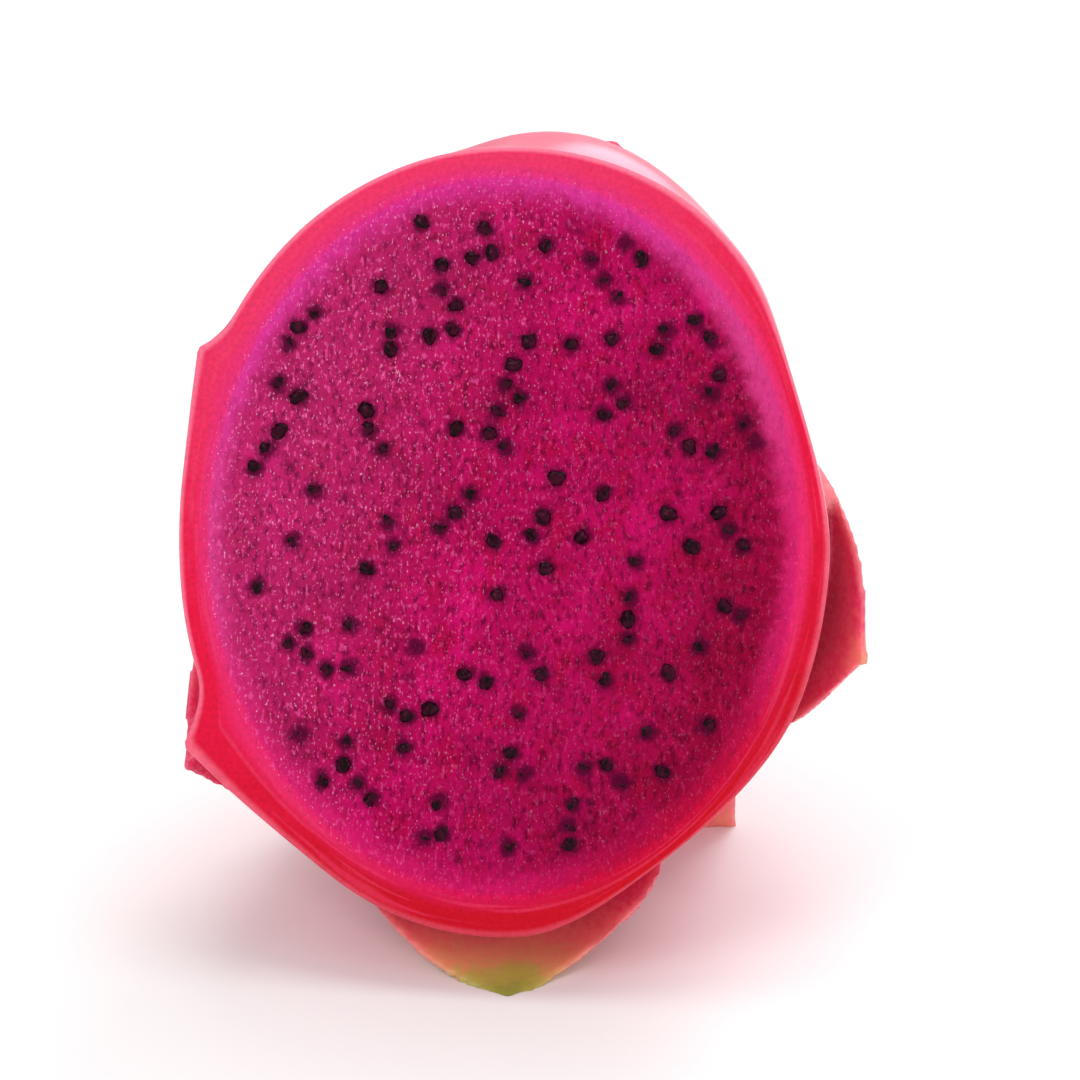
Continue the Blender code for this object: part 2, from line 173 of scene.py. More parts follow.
# Cuts and the cut edge of the peel
CUT_ALLOWANCE = 2.0 * MM
KNIFE_SET_BACK = 0.5 * MM
SEAM_OVERLAP = 0.05 * MM
RIM_ROUNDING = 0.7 * MM
RIM_DEPTH = 2.6 * MM
RIM_SKIN_DEPTHS = (1.6 * MM, RIM_DEPTH)
RIM_TUCK = 0.7 * MM
RIM_TUCK_DEPTH = 0.4 * MM
RIM_DISH = 0.02 * MM
RIM_WAVE_HEIGHT = 0.09 * MM
RIM_WAVE_SIZE = 2.4 * MM
# Mark of the rim's points that lie on the skin; the cut edge itself runs from 0 to 1
ON_SKIN = 1.2

# Relief of the cut flesh: height and size of each kind of swelling
FLESH_SWELLINGS = ((0.16 * MM, 9.0 * MM), (0.09 * MM, 2.2 * MM), (0.13 * MM, 0.85 * MM))
FLESH_EDGE_FADE = 12.0
PUCKER_DEPTH = 0.05 * MM
PUCKER_REACH = 1.3 * MM

# Seeds of the cut face
SEED_COUNT = 124
SEED_SIZES = {
    "Seed Length": 2.4 * MM,
    "Seed Width": 1.8 * MM,
    "Seed Thickness": 1.45 * MM,
    "Narrow End": 0.45,
    "Unevenness": 1.3 * MM,
}
SEED_LUMP_SIZE = 0.9 * MM
SEED_SPACING = 2.4 * MM
SEED_ROOM = 5.2 * MM
SEED_CLUMPING = 0.35
MOST_TOGETHER = 3
CLUMP_REACH = 3.5 * MM
SEED_FIELD = 0.91
SEED_SMALLEST = 0.85
SEED_LARGEST = 1.1
SEED_SINK = (0.16 * MM, 0.66 * MM)
SEED_TILT = 0.45
SEED_SHADOW = 1.6 * MM
DEEP_SEED_COUNT = 110
DEEP_SEED_SHADOW = 1.15 * MM
DEEP_SEED_DARKNESS = (0.18, 0.62)

# Dry stem stub
STUB_RADIUS = 6.2 * MM
STUB_LENGTH = 8.0 * MM
STUB_START = 57.2 * MM
STUB_SIDES = 96
STUB_RINGS = 26
STUB_CAP_RINGS = 6
STUB_FIT = 0.97
STUB_TAPER = 0.35
STUB_FLARE = 0.25
STUB_SLANT = 0.25
STUB_RIBS = 6.0
STUB_RIB_HEIGHT = 0.1
STUB_GROOVES = 17.0
STUB_GROOVE_DEPTH = 0.035
STUB_TWIST = 2.0
STUB_CLOSING = 0.93
STUB_DIP = 1.1 * MM
STUB_CHIP_HEIGHT = 0.45 * MM
STUB_CHIP_SIZE = 1.6 * MM

# Angles above which an edge is shaded sharp
BODY_CREASE = 60.0
RIM_CREASE = 24.0
STUB_CREASE = 45.0


def oval_point(around, back, half_width, half_height, depth):
    reach = math.cos(back)
    across = half_width * math.cos(around) * reach
    up = half_height * math.sin(around) * reach
    return Vector((across, depth * math.sin(back), up))


def skin_frame(around, back):
    """Point on the plain oval skin, outward normal and direction toward the cut."""
    point = oval_point(around, back, HALF_WIDTH, HALF_HEIGHT, DEPTH)
    slope = (point.x / HALF_WIDTH**2, point.y / DEPTH**2, point.z / HALF_HEIGHT**2)
    widening = math.sin(back)
    across = HALF_WIDTH * math.cos(around) * widening
    up = HALF_HEIGHT * math.sin(around) * widening
    forward = Vector((across, -DEPTH * math.cos(back), up))
    return point, Vector(slope).normalized(), forward.normalized()


def scale_roots():
    roots = [(row[0], row[1], row[3] * MM) for row in SCALES]
    roots += [(row[0], row[1], row[2] * MM) for row in STANDING_SCALES]
    frames = []
    for around, back, width in roots:
        point, outward, forward = skin_frame(math.radians(around), math.radians(back))
        frames.append((point, outward, forward, outward.cross(forward), width))
    return frames


ROOTS = scale_roots()


def swelling(point):
    """How far the skin is raised behind the scales that grow from it."""
    highest = 0.0
    for root, outward, forward, sideways, width in ROOTS:
        offset = point - root
        if offset.length > SWELLING_LENGTH + width:
            continue
        along = offset.dot(forward)
        reach = SWELLING_FALL if along > 0.0 else SWELLING_LENGTH
        along = min(1.0, abs(along) / reach)
        across = min(1.0, abs(offset.dot(sideways)) / (SWELLING_SPREAD * width))
        rise = (1.0 - along * along) ** 2 * (1.0 - across**4) ** 2
        highest = max(highest, rise)
    return SWELLING_HEIGHT * highest


def distance_round(around, angle, before, after):
    """0 at an angle round the face, growing to 1 where its reach ends on either side."""
    turn = (math.degrees(around) - angle + 180.0) % 360.0 - 180.0
    return min(1.0, abs(turn) / (after if turn > 0.0 else before))


def rim_change(around, back):
    """How far the rim stands out at its corners and lies in at its flatter stretches."""
    change = 0.0
    for angle, height, before, after in RIM_CORNERS:
        change += height * MM * (1.0 - distance_round(around, angle, before, after)) ** 2
    for angle, depth, before, after in RIM_FLATS:
        change -= depth * MM * (1.0 - distance_round(around, angle, before, after) ** 2) ** 2
    fade_back = max(0.0, 1.0 - back / RIM_REACH)
    return change * fade_back * fade_back * (3.0 - 2.0 * fade_back)


def shoulder(around, back):
    angle, middle, height, spread, reach = SHOULDER
    sideways = distance_round(around, angle, spread, spread)
    inward = min(1.0, abs(math.degrees(back) - middle) / reach)
    return height * MM * (1.0 - sideways * sideways) ** 2 * (1.0 - inward * inward) ** 2


def skin_point(around, back):
    point, outward, forward = skin_frame(around, back)
    ridge = math.cos(FURROWS * around + FURROW_TWIST * back)
    furrow = -FURROW_DEPTH * (1.0 - ridge) * math.sin(2.0 * back)
    from_axis = math.hypot(point.x, point.z) / STEM_HOLLOW_RADIUS
    hollow = -STEM_HOLLOW_DEPTH * math.exp(-from_axis * from_axis)
    behind_cut = math.sin(back)
    wave = WAVE_HEIGHT * noise.noise(point / WAVE_SIZE) * (WAVE_AT_CUT + behind_cut)
    crease = CREASE_HEIGHT * noise.noise(point / CREASE_SIZE) * behind_cut
    raised = swelling(point) + rim_change(around, back) + shoulder(around, back)
    return point + outward * (furrow + hollow + raised + wave + crease)


def free_tip(around, back, length, flare, turn):
    point, outward, forward = skin_frame(around, back)
    heading = Matrix.Rotation(turn, 3, outward) @ forward
    return point + length * (heading * math.cos(flare) + outward * math.sin(flare))


def ground_tip(across, behind):
    """A point just under the ground, turned back into the fruit's own frame."""
    drop = -FACE_CENTRE.z - TIP_SINK
    depth = behind * math.cos(LEAN) - drop * math.sin(LEAN)
    up = behind * math.sin(LEAN) + drop * math.cos(LEAN)
    return Vector((across, depth, up))


def scale_plans():
    """Root angles, width and tip of every scale."""
    plans = []
    for around, back, length, width, flare, turn in SCALES:
        place = (math.radians(around), math.radians(back))
        tip = free_tip(*place, length * MM, math.radians(flare), math.radians(turn))
        plans.append((*place, width * MM, tip))
    for around, back, width, across, behind in STANDING_SCALES:
        tip = ground_tip(across * MM, behind * MM)
        plans.append((math.radians(around), math.radians(back), width * MM, tip))
    return plans


def blade_width(share):
    """Half width of a scale along its length, as a share of its widest."""
    if share < WIDEST_AT:
        return 1.0 - ROOT_NARROWING * (1.0 - share / WIDEST_AT) ** 2
    tip = (share - WIDEST_AT) / (1.0 - WIDEST_AT)
    return (1.0 - tip**TIP_FULLNESS) ** TIP_POINTING


def blade_point(plan, share, place, side):
    """A point of a scale: share along it, place across it, side above or below."""
    around, back, width, tip = plan
    point, outward, forward = skin_frame(around, back)
    root = point + outward * (swelling(point) - ROOT_SINK) - forward * ROOT_SET_BACK
    sideways = outward.cross(forward)
    bend = root + forward * (BEND_AT * (tip - root).length)
    spine = root * (1.0 - share) ** 2 + bend * (2.0 * share * (1.0 - share)) + tip * share**2
    heading = ((bend - root) * (1.0 - share) + (tip - bend) * share).normalized()
    across = (sideways - heading * sideways.dot(heading)).normalized()
    facing = heading.cross(across)
    if facing.dot(outward) < 0.0:
        facing = -facing
    half = max(TIP_HALF_WIDTH, 0.5 * width * blade_width(share))
    thickness = ROOT_THICKNESS + (TIP_THICKNESS - ROOT_THICKNESS) * share
    thin = thickness * (1.0 - EDGE_THINNING * place * place)
    reach = half * place
    droop = reach * reach / (2.0 * WRAP_RADIUS)
    turn = RIPPLES_ALONG * share + RIPPLES_ACROSS * place + RIPPLES_ROUND * around
    ripple = RIPPLE_HEIGHT * place * place * share * math.sin(turn)
    return spine + across * reach + facing * (side * thin / 2.0 - droop + ripple)


def angles_round(steps):
    return [2.0 * math.pi * step / steps for step in range(steps)]


def join_rows(shape, low, high):
    """Adds the band of faces between two closed rows of points."""
    for step in range(len(low)):
        beside = (step + 1) % len(low)
        shape.faces.new((low[step], low[beside], high[beside], high[step]))


def close_row(shape, row, tip):
    """Adds the fan of faces between a closed row of points and one more point."""
    for step in range(len(row)):
        shape.faces.new((row[step], row[(step + 1) % len(row)], tip))


def blade_mesh(shape, plan):
    """Adds one scale to a bmesh, as a closed blade."""
    rows = []
    for share in STATION_SHARES:
        over = [blade_point(plan, share, place, 1.0) for place in COLUMN_PLACES]
        under = [blade_point(plan, share, place, -1.0) for place in reversed(COLUMN_PLACES)]
        rows.append([shape.verts.new(point) for point in over + under])
    for low, high in zip(rows, rows[1:]):
        join_rows(shape, low, high)
    for row in (rows[0], rows[-1]):
        for corner in range(SCALE_COLUMNS - 1):
            shape.faces.new((row[corner], row[corner + 1], row[-2 - corner], row[-1 - corner]))


def dome_mesh(shape, steps, rings, place):
    """Adds a closed dome to a bmesh, from in front of the cut back to its pole."""
    rows = []
    for ring in range(-1, rings):
        back = 0.5 * math.pi * max(ring, 0) / rings
        points = [place(angle, back) for angle in angles_round(steps)]
        if ring < 0:
            for point in points:
                point.y = -CUT_ALLOWANCE
        rows.append([shape.verts.new(point) for point in points])
    shape.faces.new(rows[0])
    for low, high in zip(rows, rows[1:]):
        join_rows(shape, low, high)
    close_row(shape, rows[-1], shape.verts.new(place(0.0, 0.5 * math.pi)))


def add_object(name, data):
    made = bpy.data.objects.new(name, data)
    bpy.context.scene.collection.objects.link(made)
    return made


def object_from(shape, name):
    bmesh.ops.recalc_face_normals(shape, faces=shape.faces)
    mesh = bpy.data.meshes.new(name)
    shape.to_mesh(mesh)
    shape.free()
    return add_object(name, mesh)


def apply_modifiers(item):
    bpy.context.view_layer.update()
    depsgraph = bpy.context.evaluated_depsgraph_get()
    applied = bpy.data.meshes.new_from_object(item.evaluated_get(depsgraph))
    item.modifiers.clear()
    item.data = applied


def cut_away(item, cutter):
    cut = item.modifiers.new("cut", "BOOLEAN")
    cut.operation = "DIFFERENCE"
    cut.object = cutter
    cut.solver = "MANIFOLD"
    apply_modifiers(item)
    bpy.data.objects.remove(cutter, do_unlink=True)


def box_object(name, low, high):
    shape = bmesh.new()
    middle = (Vector(low) + Vector(high)) / 2.0
    spread = Vector(high) - Vector(low)
    placed = Matrix.Translation(middle) @ Matrix.Diagonal((*spread, 1.0))
    bmesh.ops.create_cube(shape, size=1.0, matrix=placed)
    return object_from(shape, name)


def mesh_points(mesh):
    points = np.empty(len(mesh.vertices) * 3)
    mesh.vertices.foreach_get("co", points)
    return points.reshape(-1, 3)


def scale_samples(plans):
    """A tree of points on the middle of the scales, and what each point stands for."""
    samples = []
    facts = []
    for plan, pale, green in zip(plans, SCALE_EDGE, SCALE_GREEN):
        for share in STATION_SHARES:
            for place in COLUMN_PLACES:
                samples.append(blade_point(plan, share, place, 0.0))
                facts.append((share, abs(place) * pale, green))
    return tree_of(samples), np.array(facts)


def scale_shares(points, tree, facts):
    """For each point: how far along a scale it is, how near its edge, how green it is."""
    shares = np.zeros((len(points), 3))
    for index, point in enumerate(points):
        weight = 0.0
        for spot, sample, distance in tree.find_n(point, NEAREST_SAMPLES):
            if distance > SAMPLE_REACH:
                continue
            pull = 1.0 / (distance + SAMPLE_SOFTNESS)
            shares[index] += pull * facts[sample]
            weight += pull
        if weight > 0.0:
            shares[index] /= weight
    return shares.T


def smooth_roots(mesh, along):
    """Rounds the fold where each scale grows out of the skin."""
    points = mesh_points(mesh)
    edges = np.empty(len(mesh.edges) * 2, dtype=int)
    mesh.edges.foreach_get("vertices", edges)
    first, second = edges.reshape(-1, 2).T
    degree = np.bincount(edges, minlength=len(points))[:, None]
    strength = np.clip(1.0 - along / FOLD_REACH, FOLD_LEAST, 1.0)[:, None] * FOLD_STRENGTH
    for _ in range(FOLD_ROUNDS):
        total = np.zeros_like(points)
        np.add.at(total, first, points[second])
        np.add.at(total, second, points[first])
        points += strength * (total / degree - points)
    mesh.vertices.foreach_set("co", points.ravel())


def paint(mesh, name, values):
    layer = mesh.attributes.new(name, "FLOAT", "POINT")
    layer.data.foreach_set("value", np.array(values, dtype=np.float32))


def peel_form(plans):
    """The whole skin with its scales, grown together as one surface."""
    shape = bmesh.new()
    dome_mesh(shape, SKIN_STEPS, SKIN_RINGS, skin_point)
    for plan in plans:
        blade_mesh(shape, plan)
    form = object_from(shape, "peel_skin")
    grown = form.modifiers.new("grown", "REMESH")
    grown.mode = "VOXEL"
    grown.voxel_size = VOXEL
    apply_modifiers(form)
    return form


def knife_block():
    """Everything in front of the cut."""
    reach = 2.0 * HALF_HEIGHT
    return box_object("knife", (-reach, -reach, -reach), (reach, KNIFE_SET_BACK, reach))


def hollow_cutter():
    def hollow_point(around, back):
        sizes = (HALF_WIDTH - PEEL_AT_SIDES, HALF_HEIGHT - PEEL_AT_ENDS, DEPTH - PEEL_AT_STEM)
        return oval_point(around, back, *sizes)

    shape = bmesh.new()
    dome_mesh(shape, FLESH_STEPS, HOLLOW_RINGS, hollow_point)
    return object_from(shape, "hollow")


def ground_block():
    """Everything below the ground, in the fruit's own frame."""
    reach = 2.0 * HALF_HEIGHT
    made = box_object("ground", (-reach, -reach, -reach), (reach, reach, 0.0))
    made.data.transform(TO_GROUND.inverted())
    return made


def drop_crumbs(mesh):
    """Deletes the loose crumbs that a cut can leave, all but the largest part."""
    shape = bmesh.new()
    shape.from_mesh(mesh)
    parts = []
    for start in shape.verts:
        if start.tag:
            continue
        start.tag = True
        part = [start]
        for spot in part:
            for edge in spot.link_edges:
                beside = edge.other_vert(spot)
                if not beside.tag:
                    beside.tag = True
                    part.append(beside)
        parts.append(part)
    parts.sort(key=len)
    crumbs = [spot for part in parts[:-1] for spot in part]
    bmesh.ops.delete(shape, geom=crumbs, context="VERTS")
    shape.to_mesh(mesh)
    shape.free()


def paint_highlight_strip(mesh):
    """Marks the strip of skin just above the cut's upper edge, where a highlight and sheen are painted.
    """
    angle, middle, width, spread = HIGHLIGHT_STRIP
    values = []
    for point in mesh_points(mesh):
        around = math.atan2(point[2] / HALF_HEIGHT, point[0] / HALF_WIDTH)
        back = math.degrees(math.asin(min(1.0, max(0.0, point[1] / DEPTH))))
        sideways = distance_round(around, angle, spread, spread)
        inward = min(1.0, abs(back - middle) / width)
        values.append((1.0 - sideways * sideways) * (1.0 - inward * inward))
    paint(mesh, "highlight_strip", values)


def peel_skin():
    plans = scale_plans()
    form = peel_form(plans)
    tree, facts = scale_samples(plans)
    smooth_roots(form.data, scale_shares(mesh_points(form.data), tree, facts)[0])
    for cutter in (knife_block(), hollow_cutter(), ground_block()):
        cut_away(form, cutter)
    drop_crumbs(form.data)
    shares = scale_shares(mesh_points(form.data), tree, facts)
    for name, values in zip(("along", "edge", "green"), shares):
        paint(form.data, name, values)
    paint_highlight_strip(form.data)
    form.data.transform(TO_GROUND)
    return form


def rim_section(around):
    """Cross-section of the cut edge of the peel, with how far out each point lies."""
    inner = oval_point(around, 0.0, HALF_WIDTH - PEEL_AT_SIDES, HALF_HEIGHT - PEEL_AT_ENDS, DEPTH)
    across = skin_point(around, 0.0) - inner
    width = across.length
    spread = across.normalized()
    into = Vector((0.0, 1.0, 0.0))
    section = [(inner + into * RIM_DEPTH, 0.0), (inner - spread * RIM_TUCK + into * RIM_TUCK_DEPTH, 0.0)]
    flat = width - RIM_ROUNDING
    for step in range(RIM_FLAT_STEPS + 1):
        share = step / RIM_FLAT_STEPS
        out = share * flat
        spot = inner + spread * out
        wave = RIM_WAVE_HEIGHT * noise.noise(spot / RIM_WAVE_SIZE) * min(1.0, 4.0 * share)
        section.append((spot + into * (wave + RIM_DISH * (1.0 - share)), out / width))
    for step in range(1, RIM_BEND_STEPS + 1):
        bend = 0.5 * math.pi * step / RIM_BEND_STEPS
        out = flat + RIM_ROUNDING * math.sin(bend)
        fallen = RIM_ROUNDING * (1.0 - math.cos(bend))
        section.append((inner + spread * out + into * fallen, out / width))
    for depth in RIM_SKIN_DEPTHS:
        section.append((skin_point(around, math.asin(depth / DEPTH)), ON_SKIN))
    section.append((inner + spread * 0.5 * width + into * RIM_DEPTH, 0.5))
    return section


def peel_rim():
    """Cut edge of the peel: a ring, flat in front and rounded over to the skin."""
    shape = bmesh.new()
    rows = []
    shares = []
    for angle in angles_round(RIM_STEPS):
        section = rim_section(angle)
        rows.append([shape.verts.new(point) for point, share in section])
        shares += [share for point, share in section]
    for low, high in zip(rows, rows[1:] + rows[:1]):
        join_rows(shape, low, high)
    made = object_from(shape, "peel_rim")
    paint(made.data, "band", shares)
    paint_highlight_strip(made.data)
    made.data.transform(TO_GROUND)
    return made


def coat_rim(rim, cut_coat, skin_coat):
    """Gives the rim the cut peel in front and the skin where it has rounded over."""
    rim.data.materials.append(cut_coat)
    rim.data.materials.append(skin_coat)
    band = [item.value for item in rim.data.attributes["band"].data]
    for polygon in rim.data.polygons:
        furthest = max(band[corner] for corner in polygon.vertices)
        polygon.material_index = 1 if furthest > 0.5 * (1.0 + ON_SKIN) else 0


def seed_places():
    """Seeds scattered over the cut face, some in twos and threes, none close to the peel."""
    dice = random.Random(22)
    half_width = SEED_FIELD * (HALF_WIDTH - PEEL_AT_SIDES)
    half_height = SEED_FIELD * (HALF_HEIGHT - PEEL_AT_ENDS)
    places = []
    together = 1
    while len(places) < SEED_COUNT:
        room = SEED_ROOM
        spot = (dice.uniform(-half_width, half_width), dice.uniform(-half_height, half_height))
        if places and together < MOST_TOGETHER and dice.random() < SEED_CLUMPING:
            room = SEED_SPACING
            across, up = places[-1][:2]
            away = dice.uniform(SEED_SPACING, CLUMP_REACH)
            angle = dice.uniform(0.0, 2.0 * math.pi)
            spot = (across + away * math.cos(angle), up + away * math.sin(angle))
        if math.hypot(spot[0] / half_width, spot[1] / half_height) > 1.0:
            continue
        if min((math.dist(spot, other[:2]) for other in places), default=1.0) < room:
            continue
        turn = dice.uniform(0.0, math.pi)
        places.append((*spot, turn, dice.uniform(SEED_SMALLEST, SEED_LARGEST)))
        together = together + 1 if room == SEED_SPACING else 1
    return places


def deep_seed_places():
    """Seeds just under the cut face, that only show as dim spots, and how dark each is."""
    dice = random.Random(23)
    places = []
    while len(places) < DEEP_SEED_COUNT:
        across = dice.uniform(-1.0, 1.0)
        up = dice.uniform(-1.0, 1.0)
        if math.hypot(across, up) < SEED_FIELD:
            spot = (across * (HALF_WIDTH - PEEL_AT_SIDES), up * (HALF_HEIGHT - PEEL_AT_ENDS))
            places.append((*spot, dice.uniform(*DEEP_SEED_DARKNESS)))
    return places


def tree_of(points):
    """A search tree of points, each found by its number."""
    tree = KDTree(len(points))
    for index, point in enumerate(points):
        tree.insert(point, index)
    tree.balance()
    return tree


def face_tree(places):
    return tree_of([(place[0], 0.0, place[1]) for place in places])


def seed_shade(spot, seeds_near, deep_seeds, deep_places):
    """How dark a spot of the cut face is from the seeds near it."""
    distance = seeds_near.find(spot)[2]
    near = math.exp(-((distance / SEED_SHADOW) ** 2))
    nearest, index, distance = deep_seeds.find(spot)
    deep = deep_places[index][2] * math.exp(-((distance / DEEP_SEED_SHADOW) ** 2))
    return max(near, deep)


def flesh_relief(spot, share, seeds_near):
    """How far a spot of the cut face lies in front of or behind the knife's plane."""
    swell = sum(height * noise.noise(spot / size) for height, size in FLESH_SWELLINGS)
    pucker = PUCKER_DEPTH * math.exp(-((seeds_near.find(spot)[2] / PUCKER_REACH) ** 2))
    return swell * min(1.0, FLESH_EDGE_FADE * (1.0 - share)) - pucker


def flesh_body():
    half_width = HALF_WIDTH - PEEL_AT_SIDES + SEAM_OVERLAP
    half_height = HALF_HEIGHT - PEEL_AT_ENDS + SEAM_OVERLAP
    depth = DEPTH - PEEL_AT_STEM - GAP
    angles = angles_round(FLESH_STEPS)
    seeds_near = face_tree(seed_places())
    deep_places = deep_seed_places()
    deep_seeds = face_tree(deep_places)
    shade = []
    shares = []
    shape = bmesh.new()
    rows = []
    for ring in range(1, FLESH_FACE_RINGS + 1):
        share = ring / FLESH_FACE_RINGS
        row = []
        for angle in angles:
            across = share * half_width * math.cos(angle)
            up = share * half_height * math.sin(angle)
            spot = Vector((across, 0.0, up))
            row.append(shape.verts.new((across, -flesh_relief(spot, share, seeds_near), up)))
            shade.append(seed_shade(spot, seeds_near, deep_seeds, deep_places))
            shares.append(share)
        rows.append(row)
    for ring in range(1, FLESH_BACK_RINGS):
        back = 0.5 * math.pi * ring / FLESH_BACK_RINGS
        points = [oval_point(angle, back, half_width, half_height, depth) for angle in angles]
        rows.append([shape.verts.new(point) for point in points])
    for low, high in zip(rows, rows[1:]):
        join_rows(shape, low, high)
    centre = (0.0, -flesh_relief(Vector(), 0.0, seeds_near), 0.0)
    close_row(shape, rows[0], shape.verts.new(centre))
    close_row(shape, rows[-1], shape.verts.new((0.0, depth, 0.0)))
    made = object_from(shape, "flesh_body")
    rest = len(made.data.vertices) - len(shares)
    paint(made.data, "share", shares + [1.0] * (rest - 2) + [0.0, 1.0])
    paint(made.data, "seed_shade", shade + [0.0] * rest)
    made.data.transform(TO_GROUND)
    return made


# Nodes, for setting the seeds on their points and for the materials

def node_in(tree, kind, inputs=None, **settings):
    """A node with its settings, and its inputs set to values or linked to sockets."""
    made = tree.nodes.new(kind)
    for name, value in settings.items():
        setattr(made, name, value)
    for name, value in (inputs or {}).items():
        if isinstance(value, bpy.types.NodeSocket):
            tree.links.new(value, made.inputs[name])
        else:
            made.inputs[name].default_value = value
    return made


def calc(tree, operation, first, second=0.0):
    return node_in(tree, "ShaderNodeMath", {0: first, 1: second}, operation=operation).outputs[0]


def times(tree, first, *others):
    for other in others:
        first = calc(tree, "MULTIPLY", first, other)
    return first


def plus(tree, first, *others):
    for other in others:
        first = calc(tree, "ADD", first, other)
    return first


def vector(tree, **parts):
    return node_in(tree, "ShaderNodeCombineXYZ", parts).outputs[0]


def point_value(tree, name):
    """A value that was painted on the points."""
    return node_in(tree, "GeometryNodeInputNamedAttribute", {"Name": name}, data_type="FLOAT").outputs[0]


def seed_grain(tree, given):
    """One grain of the given sizes, flattened and narrower at one end."""
    ball = node_in(tree, "GeometryNodeMeshUVSphere", {"Segments": 12, "Rings": 8, "Radius": 0.5})
    place = node_in(tree, "GeometryNodeInputPosition").outputs[0]
    parts = node_in(tree, "ShaderNodeSeparateXYZ", {"Vector": place}).outputs
    slim = calc(tree, "SUBTRACT", 1.0, times(tree, parts["Z"], given["Narrow End"]))
    shaped = vector(
        tree,
        X=times(tree, slim, given["Seed Width"], parts["X"]),
        Y=times(tree, slim, given["Seed Thickness"], parts["Y"]),
        Z=times(tree, parts["Z"], given["Seed Length"]),
    )
    inputs = {"Geometry": ball.outputs["Mesh"], "Position": shaped}
    return node_in(tree, "GeometryNodeSetPosition", inputs).outputs["Geometry"]


def seed_lumps(tree, amount):
    """A small shift that makes every seed uneven in its own way."""
    lumps = node_in(tree, "ShaderNodeTexNoise", {"Scale": 1.0 / SEED_LUMP_SIZE, "Detail": 1.0})
    inputs = {0: lumps.outputs["Color"], 1: (0.5, 0.5, 0.5)}
    shift = node_in(tree, "ShaderNodeVectorMath", inputs, operation="SUBTRACT")
    inputs = {0: shift.outputs[0], "Scale": amount}
    return node_in(tree, "ShaderNodeVectorMath", inputs, operation="SCALE").outputs[0]


def seed_tree(coat):
    """One uneven seed on every point of the input."""
    tree = bpy.data.node_groups.new("seeds_on_points", "GeometryNodeTree")
    tree.interface.new_socket("Places", in_out="INPUT", socket_type="NodeSocketGeometry")
    for name in SEED_SIZES:
        tree.interface.new_socket(name, in_out="INPUT", socket_type="NodeSocketFloat")
    tree.interface.new_socket("Seeds", in_out="OUTPUT", socket_type="NodeSocketGeometry")
    given = node_in(tree, "NodeGroupInput").outputs
    inputs = {
        "Points": given["Places"],
        "Instance": seed_grain(tree, given),
        "Rotation": vector(tree, X=point_value(tree, "tilt"), Y=point_value(tree, "turn")),
        "Scale": point_value(tree, "size"),
    }
    placed = node_in(tree, "GeometryNodeInstanceOnPoints", inputs)
    real = node_in(tree, "GeometryNodeRealizeInstances", {"Geometry": placed.outputs["Instances"]})
    inputs = {"Geometry": real.outputs[0], "Offset": seed_lumps(tree, given["Unevenness"])}
    uneven = node_in(tree, "GeometryNodeSetPosition", inputs)
    coated = node_in(tree, "GeometryNodeSetMaterial", {"Geometry": uneven.outputs[0], "Material": coat})
    node_in(tree, "NodeGroupOutput", {"Seeds": coated.outputs[0]})
    return tree


def seeds(coat):
    dice = random.Random(5)
    mesh = bpy.data.meshes.new("seeds")
    rows = seed_places()
    points = [(across, dice.uniform(*SEED_SINK), up) for across, up, turn, size in rows]
    mesh.from_pydata(points, [], [])
    paint(mesh, "turn", [row[2] for row in rows])
    paint(mesh, "size", [row[3] for row in rows])
    paint(mesh, "tilt", [dice.uniform(-SEED_TILT, SEED_TILT) for row in rows])
    made = add_object("seeds", mesh)
    tree = seed_tree(coat)
    grow = made.modifiers.new("grow", "NODES")
    grow.node_group = tree
    for socket in tree.interface.items_tree:
        if socket.name in SEED_SIZES:
            grow[socket.identifier] = SEED_SIZES[socket.name]
    apply_modifiers(made)
    made.data.transform(TO_GROUND)
    made.data.shade_smooth()
    return made


def stub_point(share, closing, angle):
    """A point of the stub: share along it, closing over its end, angle round it."""
    ribs = STUB_RIB_HEIGHT * math.cos(STUB_RIBS * angle)
    grooves = STUB_GROOVE_DEPTH * math.sin(STUB_GROOVES * angle + STUB_TWIST * share)
    taper = 1.0 - STUB_TAPER * share + STUB_FLARE * share * share
    radius = STUB_RADIUS * (1.0 + ribs + grooves) * taper * STUB_FIT
    radius *= 1.0 - STUB_CLOSING * closing
    slant = 1.0 + STUB_SLANT * math.cos(angle) * share * (1.0 - closing)
    spot = Vector((radius * math.cos(angle), STUB_LENGTH * share * slant, radius * math.sin(angle)))
    chip = STUB_CHIP_HEIGHT * noise.noise(spot / STUB_CHIP_SIZE) * share
    dip = STUB_DIP * closing * (1.0 - 0.5 * closing)
    return (spot.x, STUB_START + spot.y + chip - dip, spot.z)


def stem_stub():
    """Dry ribbed stub of the stem, cut off aslant."""
    shape = bmesh.new()
    rows = []
    side_rings = STUB_RINGS - STUB_CAP_RINGS
    for ring in range(STUB_RINGS + 1):
        share = min(1.0, ring / side_rings)
        closing = max(0.0, (ring - side_rings) / STUB_CAP_RINGS)
        points = [stub_point(share, closing, angle) for angle in angles_round(STUB_SIDES)]
        rows.append([shape.verts.new(point) for point in points])
    shape.faces.new(rows[0])
    for low, high in zip(rows, rows[1:]):
        join_rows(shape, low, high)
    shape.faces.new(rows[-1])
    made = object_from(shape, "stem_stub_dry")
    made.data.transform(TO_GROUND)
    return made


